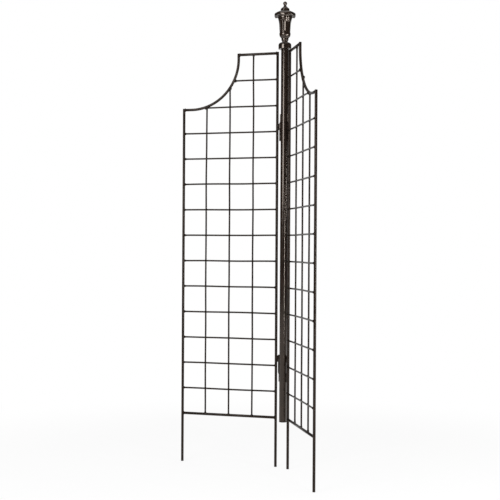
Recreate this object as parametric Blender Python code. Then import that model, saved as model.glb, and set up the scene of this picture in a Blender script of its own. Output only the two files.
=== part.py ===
# Freestanding garden trellis. Two welded lattice panels turn by their rings on hooks that
# are welded to a round post with a cast finial. The pair stands as an open V.
# Metres, +Z up. The V opens towards -Y. The origin is on the ground, at the centre of
# the box round the standing trellis.

import math

import bmesh
import bpy
from mathutils import Vector

MM = 0.001
GAP = 0.3 * MM                     # left between pieces that touch or are welded

# Lattice panels, both alike
COLUMNS = 4
ROWS = 14
CELL_WIDTH = 114.3 * MM            # between centrelines
CELL_HEIGHT = 120.65 * MM
LEG_HEIGHT = 228.6 * MM            # ground to the bottom rail's centreline
BAR_DIAMETER = 12.7 * MM           # stiles and rails
WIRE_DIAMETER = 7.9375 * MM        # crossbars and uprights
SHOULDER_RADIUS = 230.0 * MM       # centreline of the quarter circle in the arc rail
SHOULDER_DROP = 20.0 * MM          # straight fall from the top rail to the quarter circle
SHOULDER_RUN = 39.0 * MM           # straight run from the quarter circle to the outer stile
PANEL_ANGLE = math.radians(58.75)  # each panel from straight ahead, as it stands

# Hinges: rings on the panels, hooks on the post
HOOK_DIAMETER = 7.9375 * MM
RING_PLAY = 0.575 * MM             # hook to bore, on the radius
RING_WALL = 2.25 * MM
RING_HEIGHT = 30.0 * MM
RING_TO_POST = 1.3 * MM
UPPER_RING_DROP = 327.0 * MM       # top rail's centreline down to the upper ring's top
LOWER_RING_RISE = 289.0 * MM       # bottom rail's centreline up to the lower ring's top
HOOK_TURN = math.radians(7)        # line through the hooks, from the V's left and right
HOOK_BEND_HEIGHT = 14.0 * MM
HOOK_RISE = 44.0 * MM              # upper hook's welded end above the ring's top
HOOK_REACH = 51.0 * MM             # upper hook's tip below the ring's bottom
HOOK_TIP = 3.5 * MM                # lower hook's tip above the ring's top

# Post
POST_DIAMETER = 34.925 * MM
POST_WALL = 1.65 * MM
POST_HANG = 14.0 * MM              # tube's lower end below the bottom rail's centreline
PLUG_FLANGE = 3.0 * MM
PLUG_SPIGOT = 15.0 * MM
CAP_RADIUS = 30.0 * MM
CAP_RISE = 14.8 * MM               # cap's rim above the top rail's centreline
CAP_LIP = 18.5 * MM
CAP_SHOULDER = 12.0 * MM
CAP_CROWN_RADIUS = 16.0 * MM       # flat on top of the cap
CAP_WEB = 5.0 * MM                 # metal over the socket

# Finial and the fixing that runs up its middle
STUD_DIAMETER = 8.0 * MM
STUD_TAIL = 5.0 * MM               # stud below the nut
NUT_ACROSS_FLATS = 13.0 * MM
NUT_HEIGHT = 6.5 * MM
FLUTES = 12
FLUTE_DEPTH = 1.6 * MM
LOBES = 6
LOBE_LIFT = 10.0 * MM              # rim's arches above its drooping tips
LOBE_INSET = 2.0 * MM              # arches inside the circle of the tips
LOBE_TURN = math.radians(315)      # heading of one tip
BALL_RADIUS = 9.4 * MM
BALL_FOOT_RADIUS = 9.5 * MM
BALL_NECK_RADIUS = 6.6 * MM
BALL_NECK_HEIGHT = 10.0 * MM
BALL_SOCKET = 14.0 * MM            # depth of the stud's hole in the ball

# Outline of the urn from its foot up, in millimetres: radius, height, share of the fluting
URN_OUTLINE_MM = (
    (14.0, 0.0, 0.0),
    (13.2, 6.0, 0.0),
    (14.8, 9.5, 0.0),
    (14.8, 18.0, 0.0),
    (19.5, 24.0, 0.0),
    (22.6, 30.0, 0.0),
    (24.2, 38.5, 0.0),
    (22.8, 47.0, 0.0),
    (23.2, 50.0, 1.0),
    (24.6, 82.0, 1.0),
    (27.6, 100.0, 1.0),
    (28.0, 104.0, 0.0),
    (31.5, 112.0, 0.0),
    (32.0, 117.0, 0.0),
)

# Outline of the crown from its seat out, round the rim and up, in millimetres: radius,
# height, share of the scalloping
CROWN_OUTLINE_MM = (
    (31.0, 0.0, 0.0),
    (34.0, 7.0, 0.0),
    (42.0, 6.0, 0.5),
    (49.0, -4.0, 1.0),
    (51.5, -4.0, 1.0),
    (51.5, 8.0, 0.8),
    (49.0, 13.5, 0.6),
    (40.0, 20.5, 0.3),
    (27.0, 26.5, 0.0),
    (21.0, 27.5, 0.0),
    (20.5, 36.5, 0.0),
    (18.5, 40.0, 0.0),
    (11.0, 46.0, 0.0),
)

# Facets
BAR_SIDES = 16
WIRE_SIDES = 12
POST_SIDES = 32
RING_SIDES = 24
FINIAL_SIDES = 48
HOOK_BEND_STEPS = 5
SHOULDER_STEPS = 18
DOME_STEPS = 5
BALL_STEPS = 8
SMOOTH_ANGLE = math.radians(40)
MERGE_DISTANCE = 0.001 * MM

# Sizes that follow from those above
BAR_RADIUS = BAR_DIAMETER / 2
WIRE_RADIUS = WIRE_DIAMETER / 2
HOOK_RADIUS = HOOK_DIAMETER / 2
POST_RADIUS = POST_DIAMETER / 2
STUD_RADIUS = STUD_DIAMETER / 2
STUD_HOLE_RADIUS = STUD_RADIUS + GAP
WIRE_OFFSET = WIRE_RADIUS + GAP / 2
RING_BORE_RADIUS = HOOK_RADIUS + RING_PLAY
RING_RADIUS = RING_BORE_RADIUS + RING_WALL
HINGE_RADIUS = POST_RADIUS + RING_TO_POST + RING_RADIUS
HOOK_JOG = HINGE_RADIUS - (POST_RADIUS + GAP + HOOK_RADIUS)

PANEL_WIDTH = COLUMNS * CELL_WIDTH
INNER_U = RING_RADIUS + GAP + BAR_RADIUS
OUTER_U = INNER_U + PANEL_WIDTH
SHOULDER_U = OUTER_U - SHOULDER_RUN - SHOULDER_RADIUS
BOTTOM_Z = LEG_HEIGHT
TOP_Z = BOTTOM_Z + ROWS * CELL_HEIGHT
ARC_CENTRE_U = SHOULDER_U + SHOULDER_RADIUS
ARC_CENTRE_Z = TOP_Z - SHOULDER_DROP
RUN_Z = ARC_CENTRE_Z - SHOULDER_RADIUS

POST_BOTTOM_Z = BOTTOM_Z - POST_HANG
CAP_Z = TOP_Z + CAP_RISE
CAP_HEIGHT = CAP_LIP + CAP_SHOULDER
WEB_Z = CAP_Z + CAP_HEIGHT - CAP_WEB
POST_TOP_Z = WEB_Z - GAP
URN_Z = CAP_Z + CAP_HEIGHT + GAP
CROWN_Z = URN_Z + URN_OUTLINE_MM[-1][1] * MM + GAP
BALL_Z = CROWN_Z + CROWN_OUTLINE_MM[-1][1] * MM + GAP

RING_TOPS = {"upper": TOP_Z - UPPER_RING_DROP, "lower": BOTTOM_Z + LOWER_RING_RISE}
PANEL_HEADINGS = {"left": -math.pi / 2 - PANEL_ANGLE, "right": -math.pi / 2 + PANEL_ANGLE}
HOOK_HEADINGS = {"left": math.pi + HOOK_TURN, "right": HOOK_TURN}


def make_material(name, colour, roughness, metallic):
    material = bpy.data.materials.new(name)
    material.use_nodes = True
    shader = material.node_tree.nodes["Principled BSDF"]
    shader.inputs["Base Color"].default_value = (*colour, 1.0)
    shader.inputs["Roughness"].default_value = roughness
    shader.inputs["Metallic"].default_value = metallic
    return material


def make_empty(name, parent, location, heading):
    empty = bpy.data.objects.new(name, None)
    bpy.context.scene.collection.objects.link(empty)
    empty.parent = parent
    empty.location = location
    empty.rotation_euler.z = heading
    return empty


def add_piece(name, data, material, parent, location=(0.0, 0.0, 0.0)):
    piece = bpy.data.objects.new(name, data)
    data.materials.append(material)
    bpy.context.scene.collection.objects.link(piece)
    piece.parent = parent
    piece.location = location
    return piece


def mesh_from(name, shape):
    mesh = bpy.data.meshes.new(name)
    shape.to_mesh(mesh)
    shape.free()
    mesh.shade_smooth()
    mesh.set_sharp_from_angle(angle=SMOOTH_ANGLE)
    return mesh


def straight_bar(name, start, end, radius, sides, material, parent):
    """A round bar from start to end, cut square."""
    start = Vector(start)
    run = Vector(end) - start
    shape = bmesh.new()
    bmesh.ops.create_cone(
        shape, cap_ends=True, segments=sides, radius1=radius, radius2=radius, depth=run.length
    )
    bar = add_piece(name, mesh_from(name, shape), material, parent, start + run / 2)
    bar.rotation_euler = run.to_track_quat("Z", "Y").to_euler()
    return bar


def bent_bar(name, points, radius, sides, material, parent):
    """A round bar that follows points."""
    curve = bpy.data.curves.new(name, "CURVE")
    curve.dimensions = "3D"
    curve.bevel_depth = radius
    curve.bevel_resolution = sides // 2 - 2
    curve.use_fill_caps = True
    spline = curve.splines.new("POLY")
    spline.points.add(len(points) - 1)
    for point, place in zip(spline.points, points):
        point.co = (*place, 1.0)
    return add_piece(name, curve, material, parent)


def turned_shape(outline, sides, closed):
    """A body turned about Z from an outline of (radius, height) points. A closed outline
    goes round a bore; an open one starts and ends on the axis."""
    shape = bmesh.new()
    corners = [shape.verts.new((radius, 0.0, height)) for radius, height in outline]
    edges = [shape.edges.new(pair) for pair in zip(corners, corners[1:])]
    if closed:
        edges.append(shape.edges.new((corners[-1], corners[0])))
    bmesh.ops.spin(
        shape,
        geom=corners + edges,
        cent=(0.0, 0.0, 0.0),
        axis=(0.0, 0.0, 1.0),
        angle=2 * math.pi,
        steps=sides,
        use_merge=True,
    )
    bmesh.ops.remove_doubles(shape, verts=shape.verts, dist=MERGE_DISTANCE)
    bmesh.ops.recalc_face_normals(shape, faces=shape.faces)
    return shape


def quarter_arc(centre, radii, steps, start, end):
    """Points on an ellipse about centre, from angle start to angle end."""
    angles = [start + (end - start) * step / steps for step in range(steps + 1)]
    return [
        (centre[0] + radii[0] * math.cos(angle), centre[1] + radii[1] * math.sin(angle))
        for angle in angles
    ]


def cut_rim(offset):
    """Points round a wire's cut end: from the panel's mid-plane, and from the wire's axis."""
    turns = [2 * math.pi * step / WIRE_SIDES for step in range(WIRE_SIDES)]
    return [(offset + WIRE_RADIUS * math.sin(turn), WIRE_RADIUS * math.cos(turn)) for turn in turns]


def arc_reach(offset, from_centre):
    """How far a wire's cut end stays from the arc's centre line on one side, given how far
    its axis is on the other, so that its whole rim clears the arc rail."""
    reaches = [0.0]
    for across, along in cut_rim(offset):
        if abs(across) < BAR_RADIUS + GAP:
            shell = SHOULDER_RADIUS + math.sqrt((BAR_RADIUS + GAP) ** 2 - across**2)
            beside = max(0.0, from_centre - along)
            reaches.append(math.sqrt(max(0.0, shell**2 - beside**2)))
    return max(reaches)


def crossbar_end(height):
    """Where a crossbar at this height stops: at the drop, the shoulder or the outer stile."""
    stile = OUTER_U - BAR_RADIUS - GAP
    reach = arc_reach(-WIRE_OFFSET, ARC_CENTRE_Z - height)
    return ARC_CENTRE_U - reach if reach > 0.0 else stile


def upright_top(distance):
    """How high an upright at this distance reaches: to the top rail or the shoulder."""
    rail = TOP_Z - BAR_RADIUS - GAP
    reach = arc_reach(WIRE_OFFSET, ARC_CENTRE_U - distance)
    return ARC_CENTRE_Z - reach if reach > 0.0 else rail


def make_frame(side, hinge, material):
    """The two stiles, whose lower ends are the legs, and the three rails between them."""
    inner_face = INNER_U + BAR_RADIUS + GAP
    outer_face = OUTER_U - BAR_RADIUS - GAP
    bars = {
        "inner_stile": ((INNER_U, 0, 0), (INNER_U, 0, TOP_Z + BAR_RADIUS)),
        "outer_stile": ((OUTER_U, 0, 0), (OUTER_U, 0, RUN_Z + BAR_RADIUS)),
        "bottom_rail": ((inner_face, 0, BOTTOM_Z), (outer_face, 0, BOTTOM_Z)),
        "top_rail": ((inner_face, 0, TOP_Z), (SHOULDER_U - BAR_RADIUS - GAP, 0, TOP_Z)),
    }
    for name, (start, end) in bars.items():
        straight_bar(f"{side}_{name}", start, end, BAR_RADIUS, BAR_SIDES, material, hinge)

    arc = quarter_arc(
        (ARC_CENTRE_U, ARC_CENTRE_Z),
        (SHOULDER_RADIUS, SHOULDER_RADIUS),
        SHOULDER_STEPS,
        math.pi,
        1.5 * math.pi,
    )
    route = [(SHOULDER_U, TOP_Z + BAR_RADIUS), *arc, (outer_face, RUN_Z)]
    points = [(distance, 0.0, height) for distance, height in route]
    bent_bar(f"{side}_arc_rail", points, BAR_RADIUS, BAR_SIDES, material, hinge)


def make_lattice(side, hinge, material):
    """Crossbars on one face of the panel and uprights on the other, welded where they cross."""
    for row in range(1, ROWS):
        height = TOP_Z - row * CELL_HEIGHT
        start = (INNER_U + BAR_RADIUS + GAP, -WIRE_OFFSET, height)
        end = (crossbar_end(height), -WIRE_OFFSET, height)
        name = f"{side}_crossbar_{row:02d}"
        straight_bar(name, start, end, WIRE_RADIUS, WIRE_SIDES, material, hinge)

    for column in range(1, COLUMNS):
        distance = INNER_U + column * CELL_WIDTH
        start = (distance, WIRE_OFFSET, BOTTOM_Z + BAR_RADIUS + GAP)
        end = (distance, WIRE_OFFSET, upright_top(distance))
        name = f"{side}_upright_{column}"
        straight_bar(name, start, end, WIRE_RADIUS, WIRE_SIDES, material, hinge)


def make_rings(side, hinge, material):
    """Short tubes welded to the inner stile, which turn on the post's hooks."""
    outline = (
        (RING_BORE_RADIUS, 0.0),
        (RING_RADIUS, 0.0),
        (RING_RADIUS, RING_HEIGHT),
        (RING_BORE_RADIUS, RING_HEIGHT),
    )
    for level, ring_top in RING_TOPS.items():
        name = f"{side}_ring_{level}"
        mesh = mesh_from(name, turned_shape(outline, RING_SIDES, closed=True))
        add_piece(name, mesh, material, hinge, (0.0, 0.0, ring_top - RING_HEIGHT))


def hook_route():
    """An upper hook's centreline from its welded end down, with the ring's top at height 0.
    The bend starts just inside the ring, so that its flank rests on the edge of the bore."""
    half_turn = 2 * math.atan(HOOK_JOG / HOOK_BEND_HEIGHT)
    bend_radius = HOOK_BEND_HEIGHT / (2 * math.sin(half_turn))
    inner_bend = bend_radius - HOOK_RADIUS
    seat = -math.sqrt(inner_bend**2 - (inner_bend - RING_PLAY + GAP) ** 2)
    upper_bend = quarter_arc(
        (-HOOK_JOG + bend_radius, seat + HOOK_BEND_HEIGHT),
        (bend_radius, bend_radius),
        HOOK_BEND_STEPS,
        math.pi,
        math.pi + half_turn,
    )
    lower_bend = quarter_arc(
        (-bend_radius, seat),
        (bend_radius, bend_radius),
        HOOK_BEND_STEPS,
        half_turn,
        0.0,
    )
    ends = ((-HOOK_JOG, HOOK_RISE), (0.0, -RING_HEIGHT - HOOK_REACH))
    return [ends[0], *upper_bend, *lower_bend[1:], ends[1]]


def make_hooks(side, post, material):
    """Round rods welded to the post and jogged out to the hinge's axis. The upper one rests
    on its ring and points down through it. The lower one is upside down in its ring."""
    points = [(distance, 0.0, height) for distance, height in hook_route()]
    lower = RING_TOPS["lower"] + HOOK_TIP - HOOK_REACH - RING_HEIGHT
    places = {"upper": (RING_TOPS["upper"], 0.0), "lower": (lower, math.pi)}
    for level, (height, roll) in places.items():
        name = f"hook_{side}_{level}"
        hook = bent_bar(name, points, HOOK_RADIUS, WIRE_SIDES, material, post)
        hook.location = hinge_place(side, height)
        hook.rotation_euler = (roll, 0.0, HOOK_HEADINGS[side])


def hinge_place(side, height):
    heading = HOOK_HEADINGS[side]
    return (HINGE_RADIUS * math.cos(heading), HINGE_RADIUS * math.sin(heading), height)


def make_post(post, steel, plastic):
    """A tube with a plug in its lower end."""
    bore = POST_RADIUS - POST_WALL
    length = POST_TOP_Z - POST_BOTTOM_Z
    tube = ((bore, 0.0), (POST_RADIUS, 0.0), (POST_RADIUS, length), (bore, length))
    mesh = mesh_from("post_tube", turned_shape(tube, POST_SIDES, closed=True))
    add_piece("post_tube", mesh, steel, post, (0.0, 0.0, POST_BOTTOM_Z))

    spigot = bore - GAP
    plug = (
        (0.0, -PLUG_FLANGE),
        (POST_RADIUS, -PLUG_FLANGE),
        (POST_RADIUS, 0.0),
        (spigot, 0.0),
        (spigot, PLUG_SPIGOT),
        (0.0, PLUG_SPIGOT),
    )
    shape = turned_shape(plug, POST_SIDES, closed=False)
    mesh = mesh_from("post_end_plug", shape)
    add_piece("post_end_plug", mesh, plastic, post, (0.0, 0.0, POST_BOTTOM_Z - GAP))


def make_cap(post, material):
    """A domed cap whose socket slips over the tube, with a hole for the stud in its web."""
    socket = POST_RADIUS + GAP
    dome = quarter_arc(
        (CAP_CROWN_RADIUS, CAP_LIP),
        (CAP_RADIUS - CAP_CROWN_RADIUS, CAP_SHOULDER),
        DOME_STEPS,
        0.0,
        math.pi / 2,
    )
    outline = [
        (socket, 0.0),
        (CAP_RADIUS, 0.0),
        *dome,
        (STUD_HOLE_RADIUS, CAP_HEIGHT),
        (STUD_HOLE_RADIUS, CAP_HEIGHT - CAP_WEB),
        (socket, CAP_HEIGHT - CAP_WEB),
    ]
    mesh = mesh_from("post_cap", turned_shape(outline, POST_SIDES, closed=True))
    add_piece("post_cap", mesh, material, post, (0.0, 0.0, CAP_Z))


def make_stud(post, material):
    """The threaded rod that ties the finial's castings to the cap, and the nut inside the tube."""
    nut_top = WEB_Z - GAP
    bottom = nut_top - NUT_HEIGHT - STUD_TAIL
    top = BALL_Z + BALL_SOCKET - GAP
    straight_bar(
        "finial_stud", (0, 0, bottom), (0, 0, top), STUD_RADIUS, BAR_SIDES, material, post
    )

    flat = NUT_ACROSS_FLATS / 2
    outline = (
        (STUD_HOLE_RADIUS, 0.0),
        (flat, 0.0),
        (flat, NUT_HEIGHT),
        (STUD_HOLE_RADIUS, NUT_HEIGHT),
    )
    shape = turned_shape(outline, RING_SIDES, closed=True)
    for corner in shape.verts:
        if corner.co.xy.length > (STUD_HOLE_RADIUS + flat) / 2:
            from_flat = math.atan2(corner.co.y, corner.co.x) % (math.pi / 3) - math.pi / 6
            corner.co.xy /= math.cos(from_flat)
    nut = mesh_from("finial_nut", shape)
    add_piece("finial_nut", nut, material, post, (0.0, 0.0, nut_top - NUT_HEIGHT))


def warped_casting(name, outline_mm, bend, material, post, height):
    """A turned casting with a hole for the stud, its outside then reshaped point by point:
    bend(angle, radius, height, share) gives the new radius and height."""
    outside = [(radius * MM, level * MM) for radius, level, share in outline_mm]
    shares = [share for radius, level, share in outline_mm]
    outline = [(STUD_HOLE_RADIUS, outside[0][1]), *outside, (STUD_HOLE_RADIUS, outside[-1][1])]
    shape = turned_shape(outline, FINIAL_SIDES, closed=True)
    for corner in shape.verts:
        radius = corner.co.xy.length
        if radius < STUD_HOLE_RADIUS + GAP:
            continue
        nearest = min(
            range(len(outside)),
            key=lambda index: math.dist(outside[index], (radius, corner.co.z)),
        )
        angle = math.atan2(corner.co.y, corner.co.x)
        new_radius, new_height = bend(angle, radius, corner.co.z, shares[nearest])
        corner.co = (new_radius * math.cos(angle), new_radius * math.sin(angle), new_height)
    add_piece(name, mesh_from(name, shape), material, post, (0.0, 0.0, height))


def fluted(angle, radius, height, share):
    """Shallow upright flutes."""
    return radius - share * FLUTE_DEPTH * abs(math.sin(angle * FLUTES / 2)), height


def scalloped(angle, radius, height, share):
    """A rim that droops to a tip at each lobe and arches up between the tips."""
    arch = share * abs(math.sin((angle - LOBE_TURN) * LOBES / 2))
    return radius - arch * LOBE_INSET, height + arch * LOBE_LIFT


def make_finial(post, material):
    """Urn, crown and ball, stacked on the stud."""
    warped_casting("finial_urn", URN_OUTLINE_MM, fluted, material, post, URN_Z)
    warped_casting("finial_crown", CROWN_OUTLINE_MM, scalloped, material, post, CROWN_Z)

    neck_angle = -math.acos(BALL_NECK_RADIUS / BALL_RADIUS)
    ball_centre = BALL_NECK_HEIGHT - BALL_RADIUS * math.sin(neck_angle)
    ball = quarter_arc(
        (0.0, ball_centre), (BALL_RADIUS, BALL_RADIUS), BALL_STEPS, neck_angle, math.pi / 2
    )
    outline = [
        (0.0, BALL_SOCKET),
        (STUD_HOLE_RADIUS, BALL_SOCKET),
        (STUD_HOLE_RADIUS, 0.0),
        (BALL_FOOT_RADIUS, 0.0),
        (BALL_NECK_RADIUS, BALL_NECK_HEIGHT / 2),
        *ball,
    ]
    outline[-1] = (0.0, outline[-1][1])
    shape = turned_shape(outline, RING_SIDES, closed=False)
    add_piece("finial_ball", mesh_from("finial_ball", shape), material, post, (0.0, 0.0, BALL_Z))


def centre_on_ground(root):
    """Move the root so that the origin is under the centre of the whole trellis."""
    bpy.context.view_layer.update()
    graph = bpy.context.evaluated_depsgraph_get()
    points = []
    for piece in bpy.context.scene.objects:
        if piece.type != "EMPTY":
            shown = piece.evaluated_get(graph)
            points += [piece.matrix_world @ corner.co for corner in shown.to_mesh().vertices]
            shown.to_mesh_clear()
    lows = [min(point[axis] for point in points) for axis in range(3)]
    highs = [max(point[axis] for point in points) for axis in range(3)]
    root.location = (-(lows[0] + highs[0]) / 2, -(lows[1] + highs[1]) / 2, -lows[2])
    bpy.context.view_layer.update()


for old in list(bpy.data.objects):
    bpy.data.objects.remove(old)

bar_steel = make_material("bar_steel", (0.045, 0.036, 0.032), 0.42, 0.35)
wire_steel = make_material("wire_steel", (0.035, 0.030, 0.028), 0.45, 0.35)
hook_steel = make_material("hook_steel", (0.040, 0.032, 0.029), 0.45, 0.35)
post_steel = make_material("post_steel", (0.050, 0.038, 0.033), 0.38, 0.35)
cast_metal = make_material("cast_metal", (0.045, 0.034, 0.030), 0.36, 0.40)
plug_plastic = make_material("plug_plastic", (0.020, 0.018, 0.018), 0.60, 0.0)
zinc_steel = make_material("zinc_steel", (0.55, 0.55, 0.53), 0.35, 1.0)

trellis = make_empty("trellis", None, (0.0, 0.0, 0.0), 0.0)
post_axis = make_empty("post_axis", trellis, (0.0, 0.0, 0.0), 0.0)
make_post(post_axis, post_steel, plug_plastic)
make_cap(post_axis, cast_metal)
make_stud(post_axis, zinc_steel)
make_finial(post_axis, cast_metal)

for panel_side, panel_heading in PANEL_HEADINGS.items():
    make_hooks(panel_side, post_axis, hook_steel)
    place = hinge_place(panel_side, 0.0)
    panel_hinge = make_empty(f"{panel_side}_hinge", trellis, place, panel_heading)
    make_frame(panel_side, panel_hinge, bar_steel)
    make_lattice(panel_side, panel_hinge, wire_steel)
    make_rings(panel_side, panel_hinge, hook_steel)

centre_on_ground(trellis)
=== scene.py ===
# A freestanding garden trellis. Two welded steel lattice panels turn by short rings on the
# hooks of a round post, which ends in a cast finial. Metres, +Z up, origin on the ground.

import math
import random

import bmesh
import bpy
from mathutils import Matrix, Vector


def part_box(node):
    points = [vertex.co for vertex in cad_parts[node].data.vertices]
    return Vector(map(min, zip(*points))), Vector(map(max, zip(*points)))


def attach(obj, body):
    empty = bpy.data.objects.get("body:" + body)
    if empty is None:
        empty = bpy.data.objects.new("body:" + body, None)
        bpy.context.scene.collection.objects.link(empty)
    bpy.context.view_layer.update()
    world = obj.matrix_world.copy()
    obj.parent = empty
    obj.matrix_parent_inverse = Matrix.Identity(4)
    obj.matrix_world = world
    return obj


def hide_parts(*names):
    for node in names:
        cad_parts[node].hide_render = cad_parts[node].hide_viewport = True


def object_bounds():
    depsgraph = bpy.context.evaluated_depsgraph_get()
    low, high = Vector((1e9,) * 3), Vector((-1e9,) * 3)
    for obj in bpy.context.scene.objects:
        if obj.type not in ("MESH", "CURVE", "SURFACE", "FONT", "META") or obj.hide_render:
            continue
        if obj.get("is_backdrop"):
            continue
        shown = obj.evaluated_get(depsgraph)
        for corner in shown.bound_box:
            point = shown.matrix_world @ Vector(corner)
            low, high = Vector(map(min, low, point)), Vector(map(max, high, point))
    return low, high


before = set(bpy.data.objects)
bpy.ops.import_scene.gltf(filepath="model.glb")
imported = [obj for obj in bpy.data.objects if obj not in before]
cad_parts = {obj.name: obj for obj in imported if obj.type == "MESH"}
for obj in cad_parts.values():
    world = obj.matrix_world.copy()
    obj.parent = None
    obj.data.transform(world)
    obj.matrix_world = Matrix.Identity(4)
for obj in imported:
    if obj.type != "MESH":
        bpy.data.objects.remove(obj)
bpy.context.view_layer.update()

# Stiles and straight rails: round mild steel bar, sawn to length with the saw's burr eased
# off. The stiles run on below the lattice as the legs. Everything on a panel is modelled
# with the panel lying along +X from its hinge axis, and then turned to its heading.
MM = 0.001
BAR_RADIUS = 6.22 * MM
BAR_SIDES = 28
SAWN_EDGE = 0.7 * MM
INNER_U = 13.44375 * MM
OUTER_U = 470.64375 * MM
BOTTOM_Z = 228.6 * MM
TOP_Z = 1917.7 * MM
SHOULDER_U = 201.64375 * MM
SHOULDER_RUN_Z = 1667.7 * MM
PANEL_HEADINGS = {"left": math.radians(-148.75), "right": math.radians(-31.25)}


def add_node(nodes, kind, inputs=None, **settings):
    """A new node, with its own settings made first and then its inputs' values."""
    node = nodes.new(kind)
    for name, value in settings.items():
        setattr(node, name, value)
    for name, value in (inputs or {}).items():
        node.inputs[name].default_value = value
    return node


def combine(nodes, link, operation, first, second):
    """What a maths node makes of two values."""
    node = add_node(nodes, "ShaderNodeMath", operation=operation)
    link(first, node.inputs[0])
    link(second, node.inputs[1])
    return node.outputs["Value"]


def add_group(name, inputs, outputs):
    """A new node group, with its nodes, its link call, and its input and output nodes."""
    group = bpy.data.node_groups.new(name, "ShaderNodeTree")
    for label, value in inputs.items():
        kind = "NodeSocketColor" if isinstance(value, tuple) else "NodeSocketFloat"
        socket = group.interface.new_socket(label, in_out="INPUT", socket_type=kind)
        socket.default_value = value
    for label, kind in outputs.items():
        group.interface.new_socket(label, in_out="OUTPUT", socket_type=kind)
    given = group.nodes.new("NodeGroupInput")
    result = group.nodes.new("NodeGroupOutput")
    return group, group.nodes, group.links.new, given.outputs, result.inputs


def add_finish(name):
    """A new material, with its nodes, its link call and its shader."""
    finish = bpy.data.materials.new(name)
    finish.use_nodes = True
    tree = finish.node_tree
    return finish, tree.nodes, tree.links.new, tree.nodes["Principled BSDF"]


def powder_coat_group():
    """The fine-grained satin powder coat that covers all the steel: mottled colour, gloss
    that varies a little, and the height of its grain."""
    group, nodes, link, given, result = add_group(
        "powder coat",
        {
            "Coat": (0.02, 0.02, 0.02, 1),
            "Bloom": (0.04, 0.04, 0.04, 1),
            "Gloss": 0.4,
            "Mottle": 18.0,
            "Grain": 900.0,
        },
        {
            "Colour": "NodeSocketColor",
            "Roughness": "NodeSocketFloat",
            "Height": "NodeSocketFloat",
        },
    )
    place = nodes.new("ShaderNodeTexCoord").outputs["Object"]

    mottle = add_node(nodes, "ShaderNodeTexNoise", {"Detail": 5.0, "Roughness": 0.62})
    link(place, mottle.inputs["Vector"])
    link(given["Mottle"], mottle.inputs["Scale"])
    patches = nodes.new("ShaderNodeValToRGB")
    patches.color_ramp.elements[0].position = 0.42
    patches.color_ramp.elements[1].position = 0.68
    link(mottle.outputs["Fac"], patches.inputs["Fac"])
    blended = add_node(nodes, "ShaderNodeMix", data_type="RGBA")
    link(patches.outputs["Color"], blended.inputs["Factor"])
    link(given["Coat"], blended.inputs["A"])
    link(given["Bloom"], blended.inputs["B"])
    link(blended.outputs["Result"], result["Colour"])

    gloss_spread = 0.16
    lowered = add_node(nodes, "ShaderNodeMath", {1: gloss_spread / 2}, operation="SUBTRACT")
    link(given["Gloss"], lowered.inputs[0])
    gloss = add_node(nodes, "ShaderNodeMath", {1: gloss_spread}, operation="MULTIPLY_ADD")
    link(mottle.outputs["Fac"], gloss.inputs[0])
    link(lowered.outputs["Value"], gloss.inputs[2])
    link(gloss.outputs["Value"], result["Roughness"])

    grain = add_node(nodes, "ShaderNodeTexNoise", {"Detail": 3.0})
    link(place, grain.inputs["Vector"])
    link(given["Grain"], grain.inputs["Scale"])
    peel = add_node(nodes, "ShaderNodeTexVoronoi", {"Scale": 320.0}, feature="SMOOTH_F1")
    link(place, peel.inputs["Vector"])
    peel_share = 0.6
    height = add_node(nodes, "ShaderNodeMath", {1: peel_share}, operation="MULTIPLY_ADD")
    link(peel.outputs["Distance"], height.inputs[0])
    link(grain.outputs["Fac"], height.inputs[2])
    link(height.outputs["Value"], result["Height"])
    return group


def wear_group():
    """Where a coat thins over ridges and corners, broken up by fine scuffs."""
    group, nodes, link, given, result = add_group(
        "rubbed ridges", {"Start": 0.52}, {"Mask": "NodeSocketFloat"}
    )
    ridges = add_node(nodes, "ShaderNodeMapRange", {"From Max": 0.64})
    link(nodes.new("ShaderNodeNewGeometry").outputs["Pointiness"], ridges.inputs["Value"])
    link(given["Start"], ridges.inputs["From Min"])
    scuffs = add_node(nodes, "ShaderNodeTexNoise", {"Scale": 420.0, "Detail": 4.0})
    link(nodes.new("ShaderNodeTexCoord").outputs["Object"], scuffs.inputs["Vector"])
    broken = add_node(nodes, "ShaderNodeMapRange", {"From Min": 0.35, "From Max": 0.65})
    link(scuffs.outputs["Fac"], broken.inputs["Value"])
    rubbed = ridges.outputs["Result"]
    mask = combine(nodes, link, "MULTIPLY", rubbed, broken.outputs["Result"])
    link(mask, result["Mask"])
    return group


def dust_group():
    """The light dust that settles on whatever faces up, and blows off in patches."""
    group, nodes, link, given, result = add_group(
        "settled dust", {"Amount": 0.1}, {"Mask": "NodeSocketFloat"}
    )
    facing = nodes.new("ShaderNodeSeparateXYZ")
    link(nodes.new("ShaderNodeNewGeometry").outputs["Normal"], facing.inputs["Vector"])
    upward = add_node(nodes, "ShaderNodeMapRange", {"From Min": 0.25, "From Max": 0.95})
    link(facing.outputs["Z"], upward.inputs["Value"])
    drift = add_node(nodes, "ShaderNodeTexNoise", {"Scale": 60.0, "Detail": 4.0})
    link(nodes.new("ShaderNodeTexCoord").outputs["Object"], drift.inputs["Vector"])
    lying = upward.outputs["Result"]
    settled = combine(nodes, link, "MULTIPLY", lying, drift.outputs["Fac"])
    link(combine(nodes, link, "MULTIPLY", settled, given["Amount"]), result["Mask"])
    return group


POWDER_COAT = powder_coat_group()
RUBBED_RIDGES = wear_group()
SETTLED_DUST = dust_group()
WARM_SHEEN = (1.0, 0.88, 0.78, 1)
DUST = 0.06
DUST_COLOUR = (0.22, 0.20, 0.18, 1)


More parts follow.
